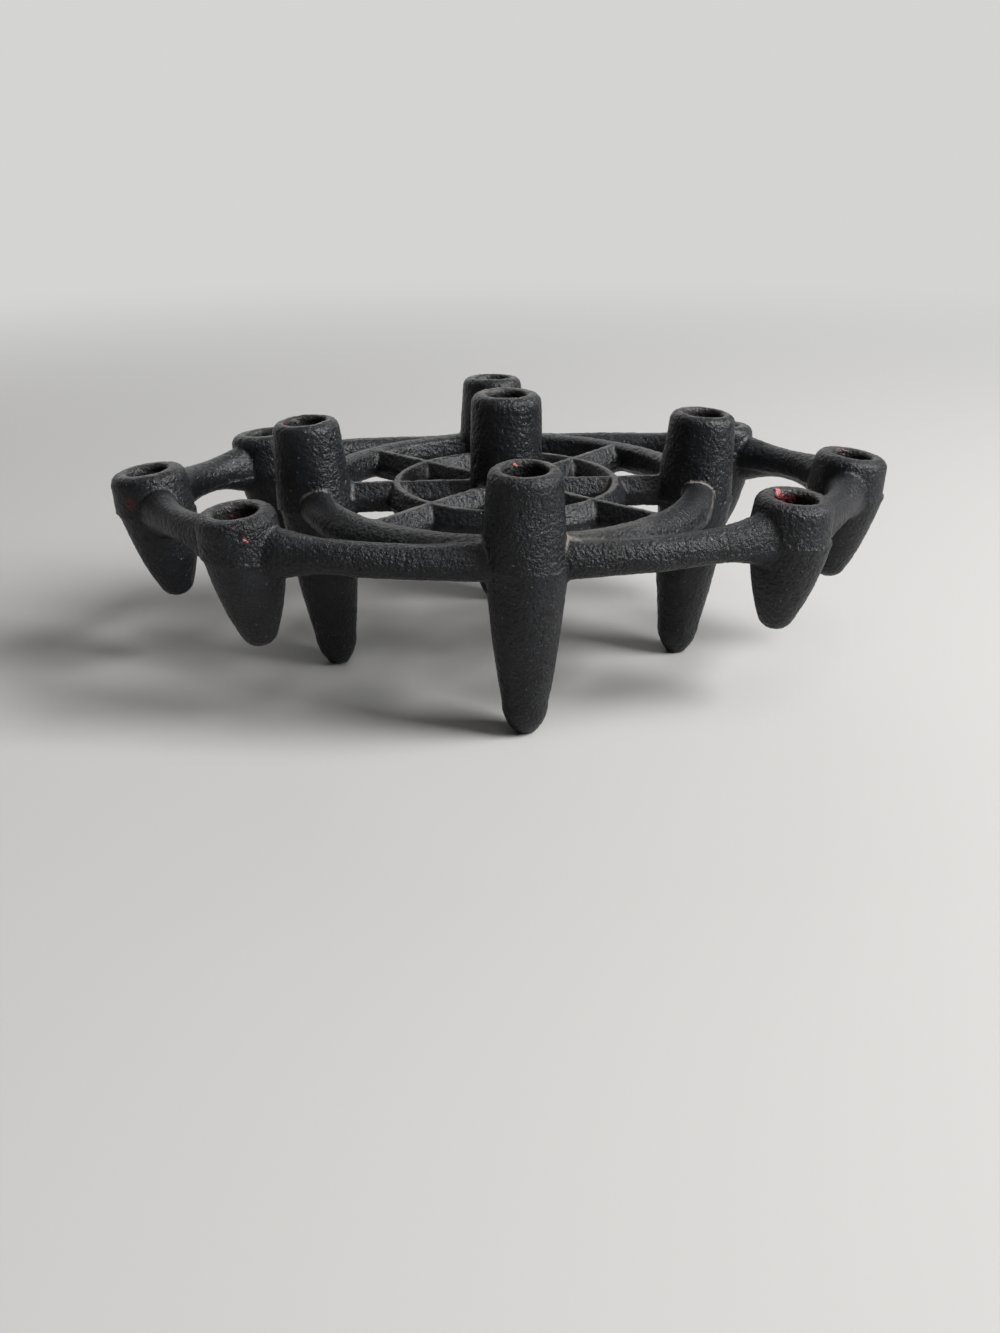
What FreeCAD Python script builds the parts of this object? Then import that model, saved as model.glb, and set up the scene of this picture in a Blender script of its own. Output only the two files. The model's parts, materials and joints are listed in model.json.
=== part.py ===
"""A small cast-iron candle stand with eleven sockets for thin taper candles.

Every length is in millimetres. The stand rests on z = 0 on its four legs, +Z is up, the origin
is on the table under the centre socket, +X is the long way of the stand and its front is at -Y.

The stand is one sand casting. Its members are modelled one by one: a centre socket, four leg
sockets on a round rim, an inner ring and eight spokes in the plane of the rim, and at each side
a loop of four arms with three hanging cups. Members meet face to face, where the casting is
continuous. The upper halves are drafted upwards and stand over the lower halves by a small step
at the parting height, as the casting does.
"""
import FreeCAD, Part
import math
import os

Vector = FreeCAD.Vector
UP = Vector(0, 0, 1)
ORIGIN = Vector(0, 0, 0)

# Bore for a thin taper, the same in all eleven sockets
BORE_WIDTH = 7.2
BORE_DEPTH = 14.0
BORE_LIP = 0.45

# Heights above the table
LEG_TOP = 46.5
CENTRE_TOP = 50.6
RIM_HEIGHT = 32.3

# Heights above and below the centre line of the rim
CREST_RISE = 2.7
CUP_RISE = 5.9
CUP_DROP = 17.8
LEG_ARM_DROP = 1.1
CUP_ARM_RISE = 0.1
PARTING_DROP = 1.5

# Step of the upper halves over the lower halves, on the radius
PARTING_STEP = 0.25

# Places in plan, taken where each socket's axis passes the height of the rim
LEG_CIRCLE_RADIUS = 34.7
CORNER_CUP_ALONG = 45.2
CORNER_CUP_ACROSS = 26.3
END_CUP_ALONG = 63.35
RING_RADIUS = 19.8

# How far the axes lean out, in degrees
LEG_SPLAY = 4.1
CORNER_CUP_SPLAY = 5.6
END_CUP_SPLAY = 7.6

# Tall sockets, at the top and at the parting height
SOCKET_WIDTH = 11.8
SOCKET_ROOT_WIDTH = 14.0
CENTRE_WIDTH = 12.6
CENTRE_ROOT_WIDTH = 13.4
SOCKET_ROUND = 1.8

# Legs
ANKLE_WIDTH = 7.8
ANKLE_HEIGHT = 5.8
FOOT_WIDTH = 3.4
leg_belly_share = 0.62
leg_belly_height_share = 0.5
nose_belly_share = 0.72
nose_belly_height_share = 0.44

# Hanging cups
CUP_WIDTH = 13.2
CUP_ROOT_WIDTH = 13.9
CUP_ROUND = 1.8
CUP_NOSE_RADIUS = 3.3
CUP_NOSE_ANGLE = 25
cup_belly_share = 0.65
cup_belly_height_share = 0.5

# Spokes and inner ring, a bar with a narrow crest
CREST_WIDTH = 1.0
BAR_WIDTH = 4.2
BAR_FOOT_WIDTH = 2.4
BAR_CROWN = 2.9
BAR_DEPTH = 5.5

# Rim, a round bar with a sharper inner edge
RIM_WIDTH = 5.8
RIM_DEPTH = 5.7
RIM_EDGE_DROP = 0.5

# Arms of the side loops, which bow out and swell at the sockets that they join
ARM_WIDTH = 5.4
ARM_DEPTH = 5.8
arm_bow_share = 0.088
FLARE_LENGTH = 8.5
LEG_FLARE_UP = 0.6
LEG_FLARE_DOWN = 0.3
CUP_FLARE_UP = 0.9
CUP_FLARE_DOWN = 1.9
flare_width_share = 0.5
arm_root_share = 0.5
ARM_STATIONS = 9

# Overrun of a cutting tool past the face it opens
OVERRUN = 5.0

FULL_TURN = 360
HALF_TURN = 180
QUARTER = 90
EIGHTH = 45

crest_height = RIM_HEIGHT + CREST_RISE
parting_height = RIM_HEIGHT - PARTING_DROP
leg_names = {"right": 0, "back": QUARTER, "left": HALF_TURN, "front": HALF_TURN + QUARTER}
compass = ["right", "back_right", "back", "back_left", "left", "front_left", "front", "front_right"]


def line(start, end):
    """A straight edge between two points of a profile."""
    return Part.makeLine(start, end)


def arc(start, through, end):
    """A round edge through three points of a profile."""
    return Part.Arc(start, through, end).toShape()


def turned(edges):
    """The solid that a closed outline in the XZ plane sweeps about the Z axis."""
    face = Part.Face(Part.Wire(edges))
    return face.revolve(ORIGIN, UP, FULL_TURN)


def lean_out(solid, radius, angle, splay):
    """Tip a turned solid outwards about the height of the rim and set it on its place in plan."""
    solid.rotate(Vector(0, 0, RIM_HEIGHT), Vector(0, 1, 0), splay)
    solid.translate(Vector(radius, 0, 0))
    solid.rotate(ORIGIN, UP, angle)
    return solid


def axial_height(height, splay):
    """Height on the upright axis that a splayed axis carries to the wanted height."""
    return RIM_HEIGHT + (height - RIM_HEIGHT) / math.cos(math.radians(splay))


def axis_point(radius, angle, splay, height):
    """Where a splayed axis passes a height."""
    reach = radius + (height - RIM_HEIGHT) * math.tan(math.radians(splay))
    turn = math.radians(angle)
    return Vector(reach * math.cos(turn), reach * math.sin(turn), height)


def crown_edges(top, width, root_width, round_size):
    """Top land, rounded corner, drafted wall and parting step of a socket's upper half."""
    radius = width / 2
    land_end = Vector(radius - round_size, 0, top)
    wall_start = Vector(radius, 0, top - round_size)
    bulge = round_size * math.sin(math.radians(EIGHTH))
    corner = Vector(radius - round_size + bulge, 0, top - round_size + bulge)
    wall_end = Vector(root_width / 2, 0, parting_height)
    step_end = Vector(wall_end.x - PARTING_STEP, 0, parting_height)
    land = line(Vector(0, 0, top), land_end)
    wall = line(wall_start, wall_end)
    return [land, arc(land_end, corner, wall_start), wall, line(wall_end, step_end)], step_end


def bore_tool(top):
    """The blind hole for a candle with its worn lip, as an upright cutter."""
    radius = BORE_WIDTH / 2
    floor = top - BORE_DEPTH
    mouth = Vector(radius + BORE_LIP, 0, top)
    points = [Vector(0, 0, floor), Vector(radius, 0, floor), Vector(radius, 0, top - BORE_LIP), mouth]
    points += [Vector(radius + BORE_LIP, 0, top + OVERRUN), Vector(0, 0, top + OVERRUN)]
    edges = [line(start, end) for start, end in zip(points, points[1:] + points[:1])]
    return turned(edges)


def leg_blank(top):
    """Upright tall socket on its ogive leg, with no bore."""
    edges, shoulder = crown_edges(top, SOCKET_WIDTH, SOCKET_ROOT_WIDTH, SOCKET_ROUND)
    ankle = Vector(ANKLE_WIDTH / 2, 0, ANKLE_HEIGHT)
    foot = Vector(FOOT_WIDTH / 2, 0, 0)
    belly = Vector(ankle.x + (shoulder.x - ankle.x) * leg_belly_share, 0,
                   ankle.z + (shoulder.z - ankle.z) * leg_belly_height_share)
    nose = Vector(foot.x + (ankle.x - foot.x) * nose_belly_share, 0, ankle.z * nose_belly_height_share)
    sole = Vector(foot.x, 0, -OVERRUN)
    sole_centre = Vector(0, 0, -OVERRUN)
    edges += [arc(shoulder, belly, ankle), arc(ankle, nose, foot)]
    edges += [line(foot, sole), line(sole, sole_centre), line(sole_centre, Vector(0, 0, top))]
    return turned(edges)


def nose_point(tip, angle):
    """A point of the round nose of a cone that ends at the tip, the angle taken down from level."""
    turn = math.radians(angle)
    return Vector(CUP_NOSE_RADIUS * math.cos(turn), 0, tip + CUP_NOSE_RADIUS * (1 - math.sin(turn)))


def tail_blank(top, tip, width, root_width, round_size):
    """Upright socket that ends below in a rounded cone, with no bore."""
    edges, wall_end = crown_edges(top, width, root_width, round_size)
    nose_start = nose_point(tip, CUP_NOSE_ANGLE)
    nose = nose_point(tip, (CUP_NOSE_ANGLE + QUARTER) / 2)
    belly = Vector(nose_start.x + (wall_end.x - nose_start.x) * cup_belly_share, 0,
                   nose_start.z + (wall_end.z - nose_start.z) * cup_belly_height_share)
    end = Vector(0, 0, tip)
    edges += [arc(wall_end, belly, nose_start), arc(nose_start, nose, end), line(end, Vector(0, 0, top))]
    return turned(edges)


def leg_socket(angle):
    """A tall socket: its blank, flat on the table, and its bored solid."""
    top = axial_height(LEG_TOP, LEG_SPLAY)
    blank = lean_out(leg_blank(top), LEG_CIRCLE_RADIUS, angle, LEG_SPLAY)
    bore = lean_out(bore_tool(top), LEG_CIRCLE_RADIUS, angle, LEG_SPLAY)
    reach = LEG_CIRCLE_RADIUS + SOCKET_ROOT_WIDTH
    table = Part.makeBox(2 * reach, 2 * reach, 2 * OVERRUN, Vector(-reach, -reach, -2 * OVERRUN))
    blank = blank.cut(table)
    return blank, blank.cut(bore)


def cup(radius, angle, splay):
    """A hanging cup: its blank and its bored solid."""
    top = axial_height(RIM_HEIGHT + CUP_RISE, splay)
    tip = axial_height(RIM_HEIGHT - CUP_DROP, splay)
    blank = tail_blank(top, tip, CUP_WIDTH, CUP_ROOT_WIDTH, CUP_ROUND)
    blank = lean_out(blank, radius, angle, splay)
    bore = lean_out(bore_tool(top), radius, angle, splay)
    return blank, blank.cut(bore)


def centre_socket():
    """The upright socket in the middle: its blank and its bored solid."""
    tip = RIM_HEIGHT - CUP_DROP
    blank = tail_blank(CENTRE_TOP, tip, CENTRE_WIDTH, CENTRE_ROOT_WIDTH, SOCKET_ROUND)
    return blank, blank.cut(bore_tool(CENTRE_TOP))


def bar_face(offset):
    """Crested section of a spoke or of the ring, in the XZ plane about x = offset."""
    half = [(CREST_WIDTH / 2, crest_height),
            (BAR_WIDTH / 2, crest_height - BAR_CROWN),
            (BAR_FOOT_WIDTH / 2, crest_height - BAR_DEPTH)]
    points = [Vector(offset + out, 0, height) for out, height in half]
    points += [Vector(offset - out, 0, height) for out, height in reversed(half)]
    return Part.Face(Part.makePolygon(points + points[:1]))


def spoke(angle):
    """A straight crested bar from the centre to the rim's centre line."""
    section = bar_face(0)
    section.rotate(ORIGIN, UP, QUARTER)
    bar = section.extrude(Vector(LEG_CIRCLE_RADIUS, 0, 0))
    bar.rotate(ORIGIN, UP, angle)
    return bar


def ring_arc(angle):
    """An eighth of the inner ring, with the spokes' crested section."""
    section = bar_face(RING_RADIUS)
    section.rotate(ORIGIN, UP, angle)
    return section.revolve(ORIGIN, UP, EIGHTH)


def rim_arc(angle):
    """A quarter of the rim: round outside, with an edge along the inside of its top."""
    inner = LEG_CIRCLE_RADIUS - RIM_WIDTH / 2
    outer = LEG_CIRCLE_RADIUS + RIM_WIDTH / 2
    top_height = RIM_HEIGHT + RIM_DEPTH / 2
    foot_height = RIM_HEIGHT - RIM_DEPTH / 2
    edge = Vector(inner + RIM_EDGE_DROP, 0, top_height - RIM_EDGE_DROP)
    top = Vector(LEG_CIRCLE_RADIUS, 0, top_height)
    side = Vector(outer, 0, RIM_HEIGHT)
    foot = Vector(LEG_CIRCLE_RADIUS, 0, foot_height)
    flank = Vector(inner, 0, RIM_HEIGHT)
    crown = Part.Wire([arc(edge, top, side), arc(side, foot, flank), line(flank, edge)])
    section = Part.Face(crown)
    section.rotate(ORIGIN, UP, angle)
    return section.revolve(ORIGIN, UP, QUARTER)


def oval(centre, along, half_depth, half_width):
    """An upright oval wire across a direction."""
    across = along.cross(UP)
    across.normalize()
    upright = across.cross(along)
    curve = Part.Ellipse(centre + upright * half_depth, centre + across * half_width, centre)
    return Part.Wire(curve.toShape())


def swell(distance, reach):
    """How much of its flare an arm has at a distance from a socket's axis, from 0 to 1."""
    share = (reach + FLARE_LENGTH - distance) / FLARE_LENGTH
    share = min(1, max(0, share))
    return share * share


def arm(start, end, start_flare, end_flare, start_reach, end_reach):
    """A bowed round arm between two socket axes. Each flare is its growth up and down there."""
    span = end - start
    length = span.Length
    middle = (start + end) * 0.5
    outwards = span.cross(UP)
    outwards.normalize()
    if outwards.dot(middle) < 0:
        outwards = outwards * -1
    first = start_reach * arm_root_share
    last = length - end_reach * arm_root_share
    wires = []
    for index in range(ARM_STATIONS):
        distance = first + (last - first) * index / (ARM_STATIONS - 1)
        start_swell = swell(distance, start_reach)
        end_swell = swell(length - distance, end_reach)
        rise, fall = [start_swell * near + end_swell * far for near, far in zip(start_flare, end_flare)]
        share = distance / length
        bow = 4 * arm_bow_share * length * share * (1 - share)
        slope = 4 * arm_bow_share * (1 - 2 * share)
        centre = start + span * share + outwards * bow + UP * ((rise - fall) / 2)
        along = span * (1 / length) + outwards * slope
        along.normalize()
        half_width = (ARM_WIDTH + (rise + fall) * flare_width_share) / 2
        wires.append(oval(centre, along, (ARM_DEPTH + rise + fall) / 2, half_width))
    return Part.makeLoft(wires, True, False)


def cut_all(shape, tools):
    """Take several tools off a shape and give back its one solid."""
    for tool in tools:
        shape = shape.cut(tool)
    return shape.removeSplitter()


def build():
    """Make every member, each cut by the ones that it meets, under its name."""
    parts = {}
    blanks = {}
    blanks["centre"], parts["centre_socket"] = centre_socket()
    for name, angle in leg_names.items():
        blanks[name], parts[name + "_leg_socket"] = leg_socket(angle)

    corner_radius = math.hypot(CORNER_CUP_ALONG, CORNER_CUP_ACROSS)
    corner_angle = math.degrees(math.atan2(CORNER_CUP_ACROSS, CORNER_CUP_ALONG))
    cup_places = {"right": (END_CUP_ALONG, 0, END_CUP_SPLAY),
                  "back_right": (corner_radius, corner_angle, CORNER_CUP_SPLAY),
                  "back_left": (corner_radius, HALF_TURN - corner_angle, CORNER_CUP_SPLAY),
                  "left": (END_CUP_ALONG, HALF_TURN, END_CUP_SPLAY),
                  "front_left": (corner_radius, HALF_TURN + corner_angle, CORNER_CUP_SPLAY),
                  "front_right": (corner_radius, -corner_angle, CORNER_CUP_SPLAY)}
    cups = {}
    for name, (radius, angle, splay) in cup_places.items():
        cups[name], parts[name + "_cup"] = cup(radius, angle, splay)

    rims = {}
    for index, side in enumerate(["back_right", "back_left", "front_left", "front_right"]):
        ends = side.split("_")
        rims[side] = cut_all(rim_arc(index * QUARTER), [blanks[ends[0]], blanks[ends[1]]])
        parts["rim_arc_" + side] = rims[side]

    bars = [spoke(index * EIGHTH) for index in range(len(compass))]
    for bar, name in zip(bars, compass):
        met = blanks[name] if name in blanks else rims[name]
        parts["spoke_" + name] = cut_all(bar, [blanks["centre"], met])
    legs = [blanks[name] for name in leg_names]
    for index, bar in enumerate(bars):
        next_bar = bars[(index + 1) % len(bars)]
        parts["ring_arc_%d" % (index + 1)] = cut_all(ring_arc(index * EIGHTH), [bar, next_bar] + legs)

    leg_flare = (LEG_FLARE_UP, LEG_FLARE_DOWN)
    cup_flare = (CUP_FLARE_UP, CUP_FLARE_DOWN)
    leg_reach = SOCKET_ROOT_WIDTH / 2
    cup_reach = CUP_ROOT_WIDTH / 2
    for side in ("left", "right"):
        end_point = axis_point(*cup_places[side], RIM_HEIGHT + CUP_ARM_RISE)
        for face in ("front", "back"):
            corner = face + "_" + side
            corner_point = axis_point(*cup_places[corner], RIM_HEIGHT + CUP_ARM_RISE)
            leg_point = axis_point(LEG_CIRCLE_RADIUS, leg_names[face], LEG_SPLAY, RIM_HEIGHT - LEG_ARM_DROP)
            inner = arm(leg_point, corner_point, leg_flare, cup_flare, leg_reach, cup_reach)
            parts["inner_arm_" + corner] = cut_all(inner, [blanks[face], cups[corner], rims[corner]])
            outer = arm(corner_point, end_point, cup_flare, cup_flare, cup_reach, cup_reach)
            parts["outer_arm_" + corner] = cut_all(outer, [cups[corner], cups[side]])
    return parts


def main():
    os.makedirs("parts", exist_ok=True)
    for name, shape in build().items():
        facts = (name, len(shape.Solids), shape.isValid(), shape.Volume)
        print("%-26s solids %d  valid %s  volume %.1f mm3" % facts)
        shape.exportStep("parts/%s.step" % name)


main()
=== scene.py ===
"""Looks of a small cast-iron candle stand with eleven sockets for thin taper candles.

The members of the CAD frame are grown together into one casting skin, with filled inside
corners, a sand-cast grain and the small step at the mould's parting line. The skin is then
divided again where the members meet, so that each piece stands for one member.
"""
import bpy
import bmesh
import json
import math
import numpy as np
from mathutils import Matrix, Vector, noise
from mathutils.bvhtree import BVHTree


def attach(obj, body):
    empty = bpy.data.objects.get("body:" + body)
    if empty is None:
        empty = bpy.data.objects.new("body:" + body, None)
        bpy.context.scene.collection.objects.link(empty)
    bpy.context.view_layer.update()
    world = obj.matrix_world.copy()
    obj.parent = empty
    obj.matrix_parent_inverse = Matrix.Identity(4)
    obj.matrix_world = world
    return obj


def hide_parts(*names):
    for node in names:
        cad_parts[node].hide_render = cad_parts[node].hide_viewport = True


MM = 0.001

# Middle of a noise texture's values
NOISE_MIDDLE = 0.5

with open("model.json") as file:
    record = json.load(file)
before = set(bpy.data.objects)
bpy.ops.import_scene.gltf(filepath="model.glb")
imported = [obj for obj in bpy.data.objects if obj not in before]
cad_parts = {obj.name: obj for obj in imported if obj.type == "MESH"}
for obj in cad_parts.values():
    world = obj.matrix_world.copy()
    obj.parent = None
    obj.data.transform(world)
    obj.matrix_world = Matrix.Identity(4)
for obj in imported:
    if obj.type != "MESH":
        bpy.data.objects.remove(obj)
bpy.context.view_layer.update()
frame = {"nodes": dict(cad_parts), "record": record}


# Helpers for node trees

def plug(tree, node, name, value):
    """Give an input of a node a value, or link it to another node's output."""
    socket = node.inputs[name]
    if isinstance(value, bpy.types.NodeSocket):
        tree.links.new(value, socket)
    else:
        socket.default_value = value


def add(tree, kind, settings=None, inputs=None):
    """Add a node with its settings and inputs, and give back the node."""
    node = tree.nodes.new(kind)
    for name, value in (settings or {}).items():
        setattr(node, name, value)
    for name, value in (inputs or {}).items():
        plug(tree, node, name, value)
    return node


def new_tree(name, kind, inputs, outputs):
    """A node group with named inputs and outputs. Each is (name, socket type, default)."""
    tree = bpy.data.node_groups.new(name, kind)
    for direction, sockets in (("INPUT", inputs), ("OUTPUT", outputs)):
        for label, socket_type, default in sockets:
            made = tree.interface.new_socket(label, in_out=direction, socket_type=socket_type)
            if default is not None:
                made.default_value = default
    return tree, tree.nodes.new("NodeGroupInput").outputs, tree.nodes.new("NodeGroupOutput")


def maths(tree, operation, *values):
    """Output of a maths node."""
    node = add(tree, "ShaderNodeMath", {"operation": operation}, dict(enumerate(values)))
    return node.outputs[0]


def product(tree, first, second):
    """The product of two values, as the output of a maths node."""
    return maths(tree, "MULTIPLY", first, second)


def total(tree, first, second):
    """The sum of two values, as the output of a maths node."""
    return maths(tree, "ADD", first, second)


def difference(tree, first, second):
    """The first value less the second, as the output of a maths node."""
    return maths(tree, "SUBTRACT", first, second)


def quotient(tree, first, second):
    """The first value over the second, as the output of a maths node."""
    return maths(tree, "DIVIDE", first, second)


def largest(tree, first, second):
    """The larger of two values, as the output of a maths node."""
    return maths(tree, "MAXIMUM", first, second)


def vector_maths(tree, operation, *values, scale=None):
    """Output of a vector maths node. Dot products and lengths come out as a value."""
    settings = {"operation": operation}
    node = add(tree, "ShaderNodeVectorMath", settings, dict(enumerate(values)))
    if scale is not None:
        plug(tree, node, "Scale", scale)
    return node.outputs["Value" if operation in ("DOT_PRODUCT", "LENGTH") else "Vector"]


def parts_of(tree, vector):
    """The X, Y and Z outputs of a vector."""
    return add(tree, "ShaderNodeSeparateXYZ", None, {0: vector}).outputs


def ramp(tree, value, low, high, to_low=0.0, to_high=1.0, smooth=True):
    """A value mapped from one range to another, held at the ends."""
    settings = {"interpolation_type": "SMOOTHSTEP" if smooth else "LINEAR", "clamp": True}
    node = add(tree, "ShaderNodeMapRange", settings,
               {"Value": value, "From Min": low, "From Max": high,
                "To Min": to_low, "To Max": to_high})
    return node.outputs["Result"]


def mix_colour(tree, share, first, second):
    """Two colours mixed by a share."""
    node = add(tree, "ShaderNodeMix", {"data_type": "RGBA"}, {0: share, 6: first, 7: second})
    return node.outputs[2]


def new_material(name):
    """A new material, with its node tree and its shader."""
    material = bpy.data.materials.new(name)
    material.use_nodes = True
    return material, material.node_tree, material.node_tree.nodes["Principled BSDF"]


# Helpers for meshes

def placed(name, data):
    """A new object in the scene, at the origin."""
    thing = bpy.data.objects.new(name, data)
    bpy.context.scene.collection.objects.link(thing)
    return thing


def make_plain(thing):
    """Turn an object with live modifiers into a plain mesh."""
    depsgraph = bpy.context.evaluated_depsgraph_get()
    mesh = bpy.data.meshes.new_from_object(thing.evaluated_get(depsgraph))
    thing.modifiers.clear()
    thing.data = mesh


def run_tree(thing, tree, values):
    """Run a geometry tree on an object. Inputs are given by name and set by identifier."""
    modifier = thing.modifiers.new(tree.name, "NODES")
    modifier.node_group = tree
    for item in tree.interface.items_tree:
        if item.in_out == "INPUT" and item.name in values:
            modifier[item.identifier] = values[item.name]
    make_plain(thing)


def numbers(collection, field, width, kind=float):
    """One field of a mesh collection as an array."""
    found = np.empty(len(collection) * width, kind)
    collection.foreach_get(field, found)
    return found.reshape(-1, width) if width > 1 else found


def mark_of(mesh, label):
    """The values of one mark, a number on each corner of a mesh."""
    return numbers(mesh.attributes[label].data, "value", 1)


def set_mark(mesh, label, values):
    """Write a mark on the corners of a mesh, new or over the old one."""
    mark = mesh.attributes.get(label)
    if mark is None:
        mark = mesh.attributes.new(label, "FLOAT", "POINT")
    mark.data.foreach_set("value", values)


# The members of the frame, grown together

SKIN_VOXEL = 0.28 * MM
MEMBER_OVERLAP = 0.06 * MM
WELD = 0.0002 * MM


def welded(node):
    """Corners, corner normals and triangles of a CAD node, with its doubled corners merged."""
    mesh = node.data
    mesh.calc_loop_triangles()
    corners = numbers(mesh.vertices, "co", 3)
    triangles = numbers(mesh.loop_triangles, "vertices", 3, np.int32)
    keys = np.round(corners / WELD).astype(np.int64)
    keys, first, home = np.unique(keys, axis=0, return_index=True, return_inverse=True)
    corners = corners[first]
    triangles = home.reshape(-1)[triangles]
    a, b, c = (corners[triangles[:, side]] for side in range(3))
    facing = np.cross(b - a, c - a)
    normals = np.zeros_like(corners)
    for side in range(3):
        np.add.at(normals, triangles[:, side], facing)
    lengths = np.linalg.norm(normals, axis=1, keepdims=True)
    return corners, normals / np.maximum(lengths, np.finfo(float).tiny), triangles


members = sorted(frame["nodes"])
cad_corners, grown_corners, cad_triangles, owners = [], [], [], []
corner_count = 0
for index, name in enumerate(members):
    corners, normals, triangles = welded(frame["nodes"][name])
    cad_corners.append(corners)
    grown_corners.append(corners + normals * MEMBER_OVERLAP)
    cad_triangles.append(triangles + corner_count)
    owners.append(np.full(len(triangles), index))
    corner_count += len(corners)
cad_corners, grown_corners, cad_triangles, owners = (
    np.concatenate(rows) for rows in (cad_corners, grown_corners, cad_triangles, owners))

skin_mesh = bpy.data.meshes.new("casting")
skin_mesh.from_pydata(grown_corners.tolist(), [], cad_triangles.tolist())
casting = placed("casting", skin_mesh)
remesh = casting.modifiers.new("grow_together", "REMESH")
remesh.mode = "VOXEL"
remesh.voxel_size = SKIN_VOXEL
remesh.use_smooth_shade = True
make_plain(casting)


# Cast skin: softened edges, filled inside corners, parting line and sand grain

# Inputs of the skin's tree: lengths in metres, steps as counts
CAST_SKIN = {
    "Voxel": SKIN_VOXEL,
    "Soften Steps": 3,
    "Fill Steps": 66,
    "Fillet Radius": 1.5 * MM,
    "Skin Shrink": MEMBER_OVERLAP,
    "Parting Height": 30.8 * MM,
    "Parting Blend": 0.25 * MM,
    "Parting Shift": (0.4 * MM, 0.0, 0.0),
    "Flash Depth": 0.13 * MM,
    "Flash Width": 0.3 * MM,
    "Grain Size": 0.8 * MM,
    "Grain Depth": 0.27 * MM,
    "Lump Size": 2.4 * MM,
    "Lump Depth": 0.12 * MM,
    "Pit Size": 1.6 * MM,
    "Pit Depth": 0.12 * MM,
    "Wave Size": 9.0 * MM,
    "Wave Depth": 0.3 * MM}
SOCKET_KINDS = {int: "NodeSocketInt", float: "NodeSocketFloat", tuple: "NodeSocketVector"}

# One blur step moves a round of radius r by about voxel squared over this many r
BLUR_DIVISOR = 5.0

# Marks of relief: blur steps, factor to millimetres with the sign that counts, and the lowest
# upward facing that counts
RELIEF_MARKS = {"edge_relief": (16, 1000.0, -1.2),
                "corner_relief": (20, -1000.0, -0.3)}
FACING_BLEND = 0.4

# The parting line wanders up and down, and its flash is broken here and there
WANDER_SIZE = 12 * MM
WANDER_DEPTH = 0.5 * MM
BREAK_SIZE = 4 * MM
BREAK_RANGE = (-0.12, 0.1)

# Pits start where their noise is this low, and are at their full depth at the lower value
PIT_RANGE = (-0.12, -0.28)

# Nothing goes below the table. The other two limits are out of reach
LOWEST_PLACE = {"X": -1.0, "Y": -1.0, "Z": 0.0}


def noise_value(tree, position, size, detail=1.0, roughness=0.5):
    """Noise about zero, with a bump size in metres."""
    node = add(tree, "ShaderNodeTexNoise", None,
               {"Vector": position, "Scale": quotient(tree, 1.0, size),
                "Detail": detail, "Roughness": roughness})
    return difference(tree, node.outputs["Fac"], NOISE_MIDDLE)


def blurred_offset(tree, steps):
    """How far the surface stands out from its own blurred copy, that copy, and the normal."""
    position = add(tree, "GeometryNodeInputPosition").outputs[0]
    normal = add(tree, "GeometryNodeInputNormal").outputs[0]
    blur = add(tree, "GeometryNodeBlurAttribute", {"data_type": "FLOAT_VECTOR"},
               {"Value": position, "Iterations": steps})
    step = vector_maths(tree, "SUBTRACT", position, blur.outputs[0])
    return vector_maths(tree, "DOT_PRODUCT", step, normal), blur.outputs[0], normal


def softened(tree, given):
    """The grown shape with its edges blurred."""
    _, blurred, _ = blurred_offset(tree, given["Soften Steps"])
    return add(tree, "GeometryNodeSetPosition", None,
               {"Geometry": given["Geometry"], "Position": blurred}).outputs[0]


def filled(tree, given, geometry):
    """Inside corners filled up, step by step, as far as they are hollower than the fillet."""
    start = tree.nodes.new("GeometryNodeRepeatInput")
    end = tree.nodes.new("GeometryNodeRepeatOutput")
    start.pair_with_output(end)
    plug(tree, start, "Iterations", given["Fill Steps"])
    plug(tree, start, "Geometry", geometry)
    standing_out, _, normal = blurred_offset(tree, 1)
    square = product(tree, given["Voxel"], given["Voxel"])
    allowed = quotient(tree, square, product(tree, given["Fillet Radius"], BLUR_DIVISOR))
    lacking = difference(tree, product(tree, standing_out, -1.0), allowed)
    lift = vector_maths(tree, "SCALE", normal, scale=largest(tree, lacking, 0.0))
    raised = add(tree, "GeometryNodeSetPosition", None,
                 {"Geometry": start.outputs["Geometry"], "Offset": lift})
    plug(tree, end, "Geometry", raised.outputs[0])
    return end.outputs["Geometry"]


def marked(tree, geometry):
    """Relief of worn edges and of dusty corners that face up, stored on the skin."""
    for label, (steps, factor, lowest) in RELIEF_MARKS.items():
        relief, _, normal = blurred_offset(tree, steps)
        upward = parts_of(tree, normal)["Z"]
        counted = ramp(tree, upward, lowest, lowest + FACING_BLEND, 0.0, factor)
        store = add(tree, "GeometryNodeStoreNamedAttribute",
                    {"data_type": "FLOAT", "domain": "POINT"},
                    {"Geometry": geometry, "Name": label, "Value": product(tree, relief, counted)})
        geometry = store.outputs[0]
    return geometry


def parting(tree, given, position):
    """Sideways shift of the lower mould half, and depth of the flash on the parting line."""
    wander = product(tree, noise_value(tree, position, WANDER_SIZE), WANDER_DEPTH)
    line_height = total(tree, given["Parting Height"], wander)
    below = difference(tree, line_height, parts_of(tree, position)["Z"])
    share = ramp(tree, quotient(tree, below, given["Parting Blend"]), -1.0, 1.0)
    shift = vector_maths(tree, "SCALE", given["Parting Shift"], scale=share)

    aside = quotient(tree, below, given["Flash Width"])
    flash = maths(tree, "EXPONENT", product(tree, product(tree, aside, aside), -1.0))
    broken = ramp(tree, noise_value(tree, position, BREAK_SIZE), *BREAK_RANGE)
    return shift, product(tree, product(tree, flash, broken), given["Flash Depth"])


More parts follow.
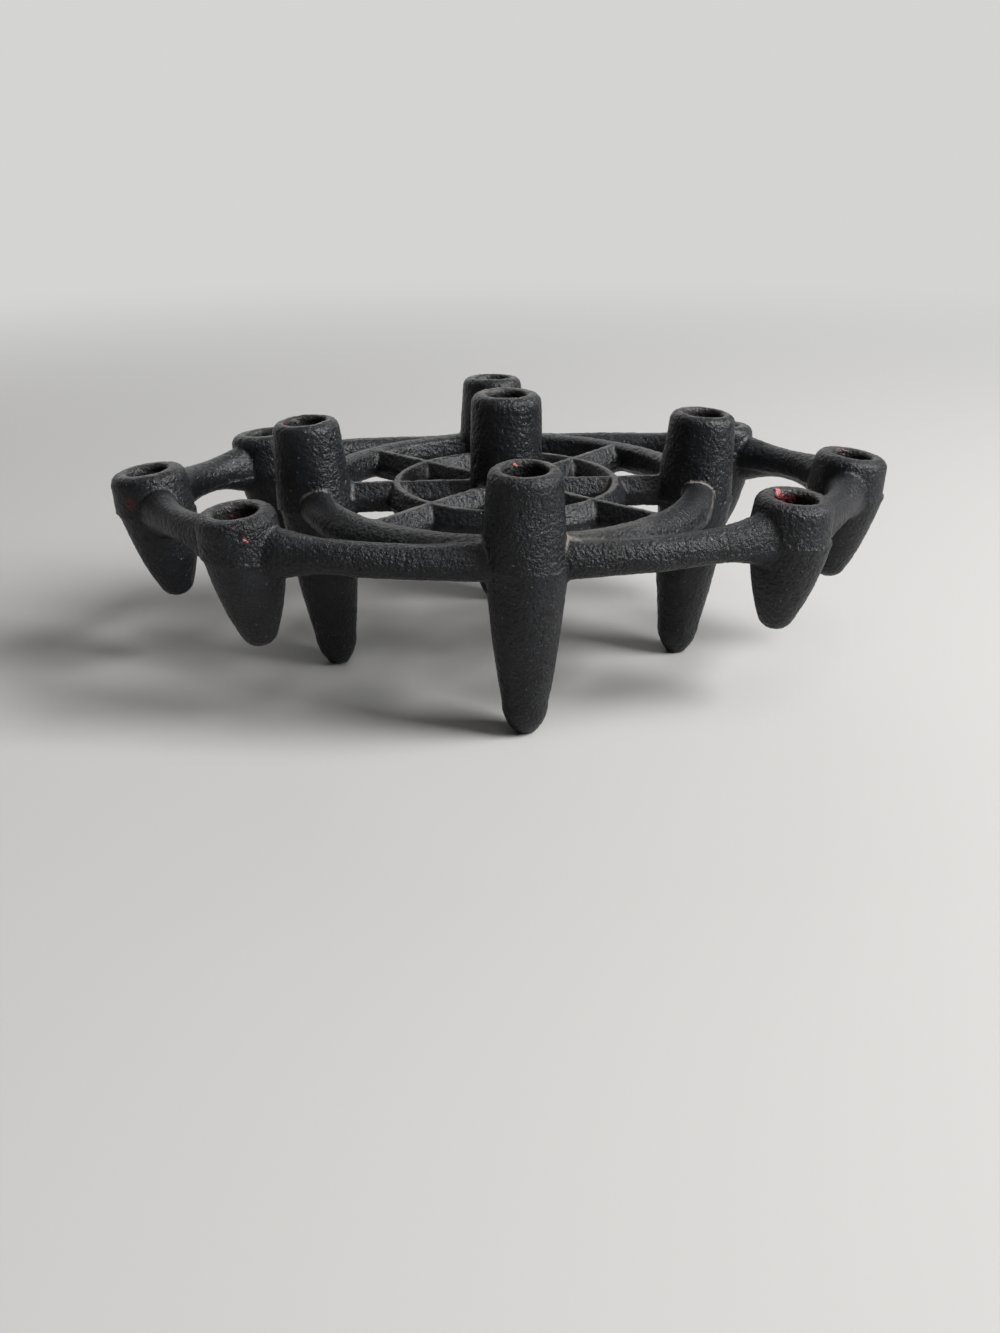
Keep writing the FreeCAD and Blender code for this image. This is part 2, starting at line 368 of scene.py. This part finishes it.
def cast_skin_tree():
    """Tree that turns the grown shape into a casting's skin."""
    inputs = [("Geometry", "NodeSocketGeometry", None)]
    inputs += [(name, SOCKET_KINDS[type(value)], value) for name, value in CAST_SKIN.items()]
    inputs += [("Material", "NodeSocketMaterial", None)]
    outputs = [("Geometry", "NodeSocketGeometry", None)]
    tree, given, result = new_tree("cast_skin", "GeometryNodeTree", inputs, outputs)

    geometry = marked(tree, filled(tree, given, softened(tree, given)))
    position = add(tree, "GeometryNodeInputPosition").outputs[0]
    shift, flash = parting(tree, given, position)

    # Sand grain, lumps, slow waves and pits
    grain = noise_value(tree, position, given["Grain Size"], detail=2.0, roughness=0.6)
    grain = product(tree, grain, given["Grain Depth"])
    lumps = noise_value(tree, position, given["Lump Size"])
    grain = total(tree, grain, product(tree, lumps, given["Lump Depth"]))
    waves = noise_value(tree, position, given["Wave Size"])
    waves = product(tree, waves, given["Wave Depth"])
    pits = ramp(tree, noise_value(tree, position, given["Pit Size"]), *PIT_RANGE)
    pits = product(tree, pits, given["Pit Depth"])
    depth = difference(tree, total(tree, grain, waves), pits)
    depth = total(tree, difference(tree, depth, given["Skin Shrink"]), flash)

    normal = add(tree, "GeometryNodeInputNormal").outputs[0]
    offset = vector_maths(tree, "ADD", shift, vector_maths(tree, "SCALE", normal, scale=depth))
    moved = vector_maths(tree, "ADD", position, offset)
    lowest = add(tree, "ShaderNodeCombineXYZ", None, LOWEST_PLACE).outputs[0]
    standing = vector_maths(tree, "MAXIMUM", moved, lowest)
    grained = add(tree, "GeometryNodeSetPosition", None,
                  {"Geometry": geometry, "Position": standing})
    smooth = add(tree, "GeometryNodeSetShadeSmooth", None, {"Geometry": grained.outputs[0]})
    whole = add(tree, "GeometryNodeRealizeInstances", None, {"Geometry": smooth.outputs[0]})
    painted = add(tree, "GeometryNodeSetMaterial", None,
                  {"Geometry": whole.outputs[0], "Material": given["Material"]})
    plug(tree, result, "Geometry", painted.outputs[0])
    return tree


# Iron

# Noise clouds: size in metres, detail and roughness
PATCHES = (4.5 * MM, 4.0, 0.6)
MEDIUM_GRAIN = (0.6 * MM, 2.0, 0.55)
FINE_GRAIN = (0.28 * MM, 3.0, 0.65)
# Pale specks: partly dust, partly painted glints of the grain
SPECKS = (0.45 * MM, 0.0, 0.5)
COARSENESS = (11 * MM, 1.0, 0.5)

# Ranges of a cloud's values, some with what they give at both ends
CLOUD_RANGE = (0.3, 0.7)
SPECK_RANGE = (0.79, 0.85)
LAND_PATCHES = (0.35, 0.65, 0.35, 1.0)
FILM_GRAIN = (0.35, 0.6, 0.45, 1.0)
COARSE_BUMPS = (0.35, 0.65, 0.8, 1.2)

BLACKS = ((0.003, 0.0034, 0.0043, 1), (0.008, 0.009, 0.0115, 1))
# Pale dust colour. The specks and the films on the rim also use it for painted highlights
DUST_AND_HIGHLIGHT = (0.27, 0.245, 0.21, 1)
# Painted shade: near black that darkens the bores more with their depth
BORE_SHADE_COLOUR = (0.002, 0.002, 0.002, 1)
# Dark red and pale wax. In the bores the pale tone at the mouths is partly painted light and the
# dark tone deeper in is partly painted shade
WAXES = ((0.05, 0.005, 0.007, 1), (0.4, 0.12, 0.125, 1))

# Relief in mm at which crests start to look worn and fully do, the same for dusty corners, and
# how much of it the patches add or take
WORN_RELIEF = (0.13, 0.2)
DUSTY_RELIEF = (0.1, 0.21)
PATCHY_RELIEF = 0.25

# How much of the dust's colour each kind of place takes. The specks are partly painted glints
WORN_COVER = 0.2
CORNER_COVER = 0.56
SPECK_COVER = 0.4
LAND_COVER = 0.08

# Painted shade in the bores: depth in mm over which a bore goes dark, and how dark and how rough
# it gets
BORE_SHADE_DEPTH = (0.1, 1.6)
BORE_SHADE_COVER = 0.85
BORE_SHADE_ROUGHNESS = 0.9

# Shares of wax from which it shows and fully covers, and from which it is pale. The medium
# grain breaks up the pale wax by this much
WAX_COVER = (0.08, 0.45)
PALE_WAX = (0.7, 1.0)
WAX_CRUMBS = 0.8

WAX_ROUGHNESS = 0.3
IRON_ROUGHNESS = (0.31, 0.45)
IRON_SPECULAR = 0.3
BUMP_DISTANCE = 0.36 * MM
FINE_BUMP_SHARE = 0.28

# Bumps are stronger towards the front: the range of Y, and the strength at its ends
FRONT_TO_BACK = (-34 * MM, -15 * MM, 1.3, 0.8)


def cast_iron_material():
    """Blackened sand-cast iron, worn on crests, dusty in corners and with old red wax. Painted
    shade darkens the bores, the wax in them is painted lighter at the mouths and darker deeper in,
    and the specks and the films on the rim mix dust with painted highlights.
    """
    material, tree, shader = new_material("blackened_iron")
    place = add(tree, "ShaderNodeTexCoord").outputs["Object"]

    def cloud(size, detail, roughness):
        node = add(tree, "ShaderNodeTexNoise", None,
                   {"Vector": place, "Scale": 1 / size, "Detail": detail, "Roughness": roughness})
        return node.outputs["Fac"]

    def mark(name):
        return add(tree, "ShaderNodeAttribute", {"attribute_name": name}).outputs["Fac"]

    patches = cloud(*PATCHES)
    fine = cloud(*FINE_GRAIN)
    medium = cloud(*MEDIUM_GRAIN)
    black = mix_colour(tree, ramp(tree, patches, *CLOUD_RANGE), *BLACKS)

    # Dust's colour: worn crests, dusty corners, specks that are partly painted glints, the
    # sockets' lands, and a film of dust with painted highlight on the rim
    patchy = product(tree, difference(tree, patches, NOISE_MIDDLE), PATCHY_RELIEF)
    worn = ramp(tree, total(tree, mark("edge_relief"), patchy), *WORN_RELIEF)
    dusty = ramp(tree, total(tree, mark("corner_relief"), patchy), *DUSTY_RELIEF)
    dusty = product(tree, dusty, mark("dust_share"))
    # Pale specks, partly dust and partly painted glints of the grain
    specks = ramp(tree, cloud(*SPECKS), *SPECK_RANGE)
    land = product(tree, mark("land"), ramp(tree, patches, *LAND_PATCHES))
    film = product(tree, mark("dust_and_highlight_film"), ramp(tree, fine, *FILM_GRAIN))
    cover = largest(tree, product(tree, worn, WORN_COVER), product(tree, dusty, CORNER_COVER))
    cover = largest(tree, cover, product(tree, specks, SPECK_COVER))
    cover = largest(tree, cover, product(tree, land, LAND_COVER))
    cover = largest(tree, cover, film)
    colour = mix_colour(tree, cover, black, DUST_AND_HIGHLIGHT)

    # Painted shade that darkens the bores with their depth, and dark red wax with pale parts: pale
    # remains of wax, with painted light on the wax at the bores' mouths and painted shade on it
    # deeper in
    bore_shade = ramp(tree, mark("bore_depth"), *BORE_SHADE_DEPTH)
    colour = mix_colour(tree, product(tree, bore_shade, BORE_SHADE_COVER), colour, BORE_SHADE_COLOUR)
    wax = mark("wax")
    crumbs = product(tree, difference(tree, medium, NOISE_MIDDLE), WAX_CRUMBS)
    red = mix_colour(tree, ramp(tree, total(tree, wax, crumbs), *PALE_WAX), *WAXES)
    covered = ramp(tree, wax, *WAX_COVER)
    plug(tree, shader, "Base Color", mix_colour(tree, covered, colour, red))

    rough = ramp(tree, fine, *CLOUD_RANGE, *IRON_ROUGHNESS)
    rough = largest(tree, rough, product(tree, bore_shade, BORE_SHADE_ROUGHNESS))
    rough = add(tree, "ShaderNodeMix", None, {0: covered, 2: rough, 3: WAX_ROUGHNESS}).outputs[0]
    plug(tree, shader, "Roughness", rough)
    plug(tree, shader, "Specular IOR Level", IRON_SPECULAR)

    height = total(tree, product(tree, fine, FINE_BUMP_SHARE), medium)
    coarse = ramp(tree, cloud(*COARSENESS), *COARSE_BUMPS)
    coarse = product(tree, coarse, ramp(tree, parts_of(tree, place)["Y"], *FRONT_TO_BACK))
    bump = add(tree, "ShaderNodeBump", None,
               {"Height": product(tree, height, coarse), "Strength": 1.0,
                "Distance": BUMP_DISTANCE})
    plug(tree, shader, "Normal", bump.outputs[0])
    return material


iron = cast_iron_material()
run_tree(casting, cast_skin_tree(), {**CAST_SKIN, "Material": iron})


# Marks on the skin: bores, the sockets' lands, dust, films of dust with painted highlight, and wax
# in and on some of the sockets

# How far lands reach out from a bore's wall, with their blend, and up from its mouth, and how
# far the mark of a bore reaches past its wall and its ends
LAND_WIDTH = 1.3 * MM
LAND_BLEND = 0.5 * MM
LAND_REACH = 3 * MM
BORE_REACH = 0.5 * MM
MOUTH_REACH = 0.6 * MM

# Share of dust in plain corners. A corner's relief counts this much, and more with its dust
PLAIN_DUST = 0.5
CLEAN_CORNER = 0.55
DUSTY_CORNER = 0.9

# Where gathered dust ends, in reaches
DUST_EDGE = 1.4

# Where a film of dust with painted highlight ends, in widths, and how ragged it is there, with its
# bump size in mm
FILM_REACH = 1.4
FILM_EDGE = 1.1
FILM_RAGGEDNESS = 0.6
FILM_BUMP = 0.5

# The same for wax, in sizes, and how steeply it grows from its edge
WAX_REACH = 1.6
WAX_EDGE = 1.05
WAX_RAGGEDNESS = 0.45
WAX_BUMP = 0.8
WAX_STEEPNESS = 2.4

# More dust in corners round a place: place and reach in mm, strength
DUSTY_PLACES = (
    ((33, -9, 33.5), 6.5, 1.0),
    ((-33, -9, 33.5), 5.5, 0.25),
    ((7.1, -35.9, 34.8), 3.0, 1.0))

# Films of dust with painted highlight on the rim: start, end and width in mm, strength
RIM_DUST_AND_HIGHLIGHT_FILMS = (
    ((7.0, -35.0, 34.9), (8.4, -35.5, 34.7), 0.9, 0.7),
    ((8.4, -35.3, 34.7), (12.5, -34.4, 34.5), 0.7, 0.3),
    ((7.5, -34.0, 35.0), (21.0, -28.6, 34.6), 1.5, 0.13),
    ((36.6, -7.6, 33.3), (35.3, -12.8, 32.8), 0.35, 0.45),
    ((35.3, -12.8, 32.8), (33.5, -17.0, 32.0), 0.35, 0.3))

# Wax on the walls of bores: socket, bearing in plan in degrees, depth under the mouth and size in
# mm, strength, and lift in mm. Strengths are mostly highest at the mouths, so the wax is pale
# there
# and dark red deeper in: painted light and painted shade over the wax's own red
BORE_WAX = (
    ("front_right_cup", 134, 0.0, 0.85, 1.0, 0.4),
    ("front_right_cup", 114, 0.6, 0.75, 0.8, 0.15),
    ("front_right_cup", 100, 1.5, 1.3, 0.4, 0.1),
    ("front_right_cup", 80, 1.0, 1.0, 0.3, 0.1),
    ("front_right_cup", 122, 1.9, 1.2, 0.5, 0.1),
    ("front_right_cup", 62, 0.6, 0.6, 0.35, 0.1),
    ("front_left_cup", 112, 1.9, 0.9, 0.22, 0.0),
    ("front_left_cup", 90, 2.3, 1.0, 0.28, 0.0),
    ("front_left_cup", 72, 1.8, 0.6, 0.22, 0.0),
    ("right_cup", 112, 0.0, 0.7, 0.3, 0.0),
    ("right_cup", 98, -0.2, 0.45, 0.8, 0.0),
    ("front_leg", 113, 0.1, 0.3, 1.5, 0.1),
    ("front_leg", 120, -0.1, 0.22, 1.5, 0.1),
    ("front_leg", 106, 0.4, 0.2, 1.5, 0.1),
    ("left_leg", 165, 0.3, 0.8, 0.3, 0.0))

# Wax on the outside of the left cup and the front left cup: place and size in mm, strength,
# and lift in mm
OUTSIDE_WAX = (
    ((-66.3, -6.1, 33.6), 1.15, 0.5, 0.0),
    ((-66.9, -5.8, 34.2), 0.3, 0.8, 0.0),
    ((-66.0, -6.2, 33.1), 0.3, 0.8, 0.0),
    ((-65.6, -6.4, 33.8), 0.3, 0.8, 0.0),
    ((-43.8, -32.85, 35.2), 0.28, 1.5, 0.08),
    ((-43.3, -32.85, 34.9), 0.28, 1.5, 0.08),
    ((-45.5, -32.8, 37.2), 0.35, 0.5, 0.0))

skin = numbers(casting.data.vertices, "co", 3)
skin_normals = numbers(casting.data.vertices, "normal", 3)
bore_depth = np.zeros(len(skin))
land = np.zeros(len(skin))
wax = np.zeros(len(skin))
dust_and_highlight_film = np.zeros(len(skin))
dust_share = np.full(len(skin), PLAIN_DUST)

bores = {}
for mount in frame["record"]["mounts"]:
    if mount["kind"] == "bore":
        axis = np.array(mount["axis"])
        radius = mount["dims"]["r_mm"] * MM
        length = mount["dims"]["length_mm"] * MM
        mouth = np.array(mount["pos_m"]) + axis * length / 2
        bores[mount["name"][:-len("_bore")]] = (mouth, axis, radius)
        along = (skin - mouth) @ axis
        spread = np.linalg.norm(skin - mouth - along[:, None] * axis, axis=1)
        inside = (spread < radius + BORE_REACH) & (along < 0) & (along > -length - MOUTH_REACH)
        bore_depth = np.where(inside, -along / MM, bore_depth)
        near = (along > -MOUTH_REACH) & (along < LAND_REACH) & (spread < radius + LAND_WIDTH)
        strength = np.clip((radius + LAND_WIDTH - spread) / LAND_BLEND, 0, 1)
        land = np.where(near, strength, land)


def on_wall(socket, bearing, depth):
    """Point on a bore's wall, at a bearing in plan and a depth in mm under the mouth."""
    mouth, axis, radius = bores[socket]
    turn = math.radians(bearing)
    out = Vector((math.cos(turn), math.sin(turn), 0))
    out = (out - out.dot(axis) * Vector(axis)).normalized()
    return np.array(Vector(mouth) - Vector(axis) * depth * MM + out * radius)


def ragged(corner, size):
    """Noise from -1 to 1 at a corner of the skin, with a bump size in mm."""
    return noise.noise(Vector(skin[corner]) / (size * MM))


def lay_wax(place, size, strength, lift):
    """A ragged remain of wax round a point in metres. Its size and lift are in mm."""
    far = np.linalg.norm(skin - place, axis=1) / (size * MM)
    for corner in np.nonzero(far < WAX_REACH)[0]:
        edge = WAX_EDGE + WAX_RAGGEDNESS * ragged(corner, WAX_BUMP)
        amount = min(1.0, max(0.0, WAX_STEEPNESS * (edge - far[corner])))
        wax[corner] = max(wax[corner], amount * strength)
        skin[corner] = skin[corner] + skin_normals[corner] * (lift * MM * amount)


def gather_dust(place, reach, strength):
    """More dust in the corners round a point. Its place and reach are in mm."""
    far = np.linalg.norm(skin / MM - np.array(place), axis=1) / reach
    near = np.clip(DUST_EDGE - far, 0, 1) * strength
    np.maximum(dust_share, PLAIN_DUST + (1 - PLAIN_DUST) * near, out=dust_share)


def lay_dust_and_highlight(start, end, width, strength):
    """A thin ragged film of dust with painted highlight along a line between two places. Lengths
    are in mm.
    """
    places = skin / MM - np.array(start)
    span = np.array(end) - np.array(start)
    share = np.clip(places @ span / (span @ span), 0, 1)
    far = np.linalg.norm(places - share[:, None] * span, axis=1) / width
    for corner in np.nonzero(far < FILM_REACH)[0]:
        edge = FILM_EDGE + FILM_RAGGEDNESS * ragged(corner, FILM_BUMP)
        amount = min(1.0, max(0.0, edge - far[corner]))
        dust_and_highlight_film[corner] = max(dust_and_highlight_film[corner], amount * strength)


for start, end, width, strength in RIM_DUST_AND_HIGHLIGHT_FILMS:
    lay_dust_and_highlight(start, end, width, strength)
for place, reach, strength in DUSTY_PLACES:
    gather_dust(place, reach, strength)
for socket, bearing, depth, size, strength, lift in BORE_WAX:
    lay_wax(on_wall(socket, bearing, depth), size, strength, lift)
for place, size, strength, lift in OUTSIDE_WAX:
    lay_wax(np.array(place) * MM, size, strength, lift)
casting.data.vertices.foreach_set("co", skin.ravel())

corner_relief = mark_of(casting.data, "corner_relief")
corner_relief = corner_relief * (CLEAN_CORNER + DUSTY_CORNER * dust_share)
SKIN_MARKS = {"edge_relief": mark_of(casting.data, "edge_relief"),
              "corner_relief": corner_relief,
              "dust_share": dust_share,
              "dust_and_highlight_film": dust_and_highlight_film,
              "bore_depth": bore_depth,
              "land": land,
              "wax": wax}
for label, values in SKIN_MARKS.items():
    set_mark(casting.data, label, values)


# Divide the skin where the members meet

SETTLING_ROUNDS = 3
FEWEST_NEIGHBOURS = 2


def nearest_members(mesh):
    """Index of the CAD member that lies nearest to each face."""
    tree = BVHTree.FromPolygons(cad_corners.tolist(), cad_triangles.tolist())
    centres = numbers(mesh.polygons, "center", 3)
    found = [tree.find_nearest(centre)[2] for centre in centres.tolist()]
    return owners[np.array(found)]


def settle(labels, mesh):
    """Give a face with few neighbours of its own kind to the kind round it."""
    loops = numbers(mesh.loops, "edge_index", 1, np.int32)
    totals = numbers(mesh.polygons, "loop_total", 1, np.int32)
    faces = np.repeat(np.arange(len(totals)), totals)
    order = np.argsort(loops, kind="stable")
    edges, sides = loops[order], faces[order]
    paired = np.nonzero(edges[1:] == edges[:-1])[0]
    one, other = sides[paired], sides[paired + 1]
    for _ in range(SETTLING_ROUNDS):
        votes = np.zeros((len(labels), len(members)), np.int16)
        np.add.at(votes, (one, labels[other]), 1)
        np.add.at(votes, (other, labels[one]), 1)
        own = votes[np.arange(len(labels)), labels]
        best = votes.argmax(axis=1)
        most = votes[np.arange(len(labels)), best]
        labels = np.where(most > np.maximum(own, FEWEST_NEIGHBOURS), best, labels)
    return labels


def cut_piece(mesh, chosen, name):
    """A closed mesh of the chosen faces, capped where the members meet."""
    totals = numbers(mesh.polygons, "loop_total", 1, np.int32)
    corner_index = numbers(mesh.loops, "vertex_index", 1, np.int32)[np.repeat(chosen, totals)]
    used, corner_index = np.unique(corner_index, return_inverse=True)
    totals = totals[chosen]
    starts = np.concatenate([[0], np.cumsum(totals)[:-1]]).astype(np.int32)
    piece = bpy.data.meshes.new(name)
    piece.vertices.add(len(used))
    piece.loops.add(len(corner_index))
    piece.polygons.add(len(totals))
    piece.vertices.foreach_set("co", numbers(mesh.vertices, "co", 3)[used].ravel())
    piece.loops.foreach_set("vertex_index", corner_index.astype(np.int32))
    piece.polygons.foreach_set("loop_start", starts)
    piece.polygons.foreach_set("use_smooth", np.ones(len(totals), bool))
    for label in SKIN_MARKS:
        set_mark(piece, label, mark_of(mesh, label)[used])
    piece.update(calc_edges=True)
    form = bmesh.new()
    form.from_mesh(piece)
    rims = [edge for edge in form.edges if edge.is_boundary]
    for edge in rims:
        edge.smooth = False
    caps = bmesh.ops.holes_fill(form, edges=rims, sides=0)["faces"]
    caps = bmesh.ops.poke(form, faces=caps)["faces"]
    for face in caps:
        face.smooth = False
    open_edges = sum(1 for edge in form.edges if not edge.is_manifold)
    form.to_mesh(piece)
    form.free()
    print("%-28s faces %6d  open %d" % (name, len(piece.polygons), open_edges))
    return piece


labels = settle(nearest_members(casting.data), casting.data)
for index, name in enumerate(members):
    mesh = cut_piece(casting.data, labels == index, name + "_cast")
    mesh.materials.append(iron)
    piece = placed(name + "_cast", mesh)
    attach(piece, "root")
    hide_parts(name)
bpy.data.objects.remove(casting)


# Floor, light and camera. Lengths are in metres

BACKDROP = (0.66, 0.66, 0.65, 1)
FLOOR_COLOUR = (0.44, 0.435, 0.425, 1)
FLOOR_ROUGHNESS = 0.8
FLOOR_REACH = 3.0

# Distance from the stand over which the floor turns into the backdrop
FLOOR_FADE = (0.14, 0.6)

# The world lights the stand with this strength, and shows the backdrop at full strength. The
# iron sees the backdrop mostly behind the stand and above it: ranges of a ray's Y and Z, and
# the share that it sees at their ends
WORLD_LIGHT = 0.1
BACKDROP_BEHIND = (0.1, 0.9, 0.1, 1.0)
BACKDROP_ABOVE = (0.5, 1.0, 0.1, 0.8)

# Soft lamps: place, width, height, and power in watts
LAMPS = {"window": ((0.65, -0.256, 0.56), 0.4, 0.56, 16.0),
         "pale_wall": ((-0.05, 0.75, 0.4), 0.9, 0.35, 1.2),
         "ceiling": ((0.12, -0.2, 0.62), 0.4, 0.4, 0.8)}
LAMP_TARGET = (0, 0, 0.03)

# Camera, fitted to the photograph
CAMERA_PLACE = (-0.018577, -0.227356, 0.098124)
CAMERA_AHEAD = (0.069484, 0.912475, -0.40319)
CAMERA_ROLL = -0.003
FOCAL_PIXELS = 1287
FRAME_PIXELS = 1333
SENSOR_WIDTH = 36
CLIP_START = 0.005

pale_floor, tree, shader = new_material("pale_floor")
plug(tree, shader, "Base Color", FLOOR_COLOUR)
plug(tree, shader, "Roughness", FLOOR_ROUGHNESS)
distance = vector_maths(tree, "LENGTH", add(tree, "ShaderNodeTexCoord").outputs["Object"])
seen = add(tree, "ShaderNodeLightPath").outputs
direct = largest(tree, seen["Is Camera Ray"], seen["Is Glossy Ray"])
direct = largest(tree, direct, seen["Is Transmission Ray"])
far = product(tree, ramp(tree, distance, *FLOOR_FADE), direct)
glow = add(tree, "ShaderNodeEmission", None, {"Color": BACKDROP, "Strength": 1.0})
both = add(tree, "ShaderNodeMixShader", None, {0: far, 1: shader.outputs[0], 2: glow.outputs[0]})
plug(tree, tree.nodes["Material Output"], "Surface", both.outputs[0])
floor_mesh = bpy.data.meshes.new("floor")
floor_mesh.from_pydata([(-FLOOR_REACH, -FLOOR_REACH, 0), (FLOOR_REACH, -FLOOR_REACH, 0),
                        (FLOOR_REACH, FLOOR_REACH, 0), (-FLOOR_REACH, FLOOR_REACH, 0)],
                       [], [(0, 1, 2, 3)])
floor_mesh.materials.append(pale_floor)
floor = placed("floor", floor_mesh)

world = bpy.data.worlds.new("studio")
bpy.context.scene.world = world
world.use_nodes = True
sky = world.node_tree
seen = add(sky, "ShaderNodeLightPath").outputs
toward = parts_of(sky, add(sky, "ShaderNodeTexCoord").outputs["Generated"])
behind = ramp(sky, toward["Y"], *BACKDROP_BEHIND)
above = ramp(sky, toward["Z"], *BACKDROP_ABOVE)
glossy = product(sky, seen["Is Glossy Ray"], largest(sky, behind, above))
direct = largest(sky, seen["Is Camera Ray"], glossy)
direct = largest(sky, direct, seen["Is Transmission Ray"])
background = sky.nodes["Background"]
plug(sky, background, "Strength", ramp(sky, direct, 0.0, 1.0, WORLD_LIGHT, 1.0, smooth=False))
plug(sky, background, "Color", BACKDROP)

for name, (place, width, height, power) in LAMPS.items():
    lamp = bpy.data.lights.new(name, "AREA")
    lamp.shape = "RECTANGLE"
    lamp.size = width
    lamp.size_y = height
    lamp.energy = power
    stand = placed(name, lamp)
    stand.location = place
    away = Vector(place) - Vector(LAMP_TARGET)
    stand.rotation_euler = away.to_track_quat("Z", "Y").to_euler()

camera_data = bpy.data.cameras.new("camera")
camera_data.sensor_width = SENSOR_WIDTH
camera_data.lens = FOCAL_PIXELS / FRAME_PIXELS * SENSOR_WIDTH
camera_data.clip_start = CLIP_START
camera = placed("camera", camera_data)
bpy.context.scene.camera = camera
ahead = Vector(CAMERA_AHEAD).normalized()
right = ahead.cross(Vector((0, 0, 1))).normalized()
turn = Matrix((right, (-ahead).cross(right), -ahead)).transposed()
turn = turn @ Matrix.Rotation(CAMERA_ROLL, 3, "Z")
camera.matrix_world = Matrix.Translation(CAMERA_PLACE) @ turn.to_4x4()

bpy.context.scene.view_settings.view_transform = "Standard"
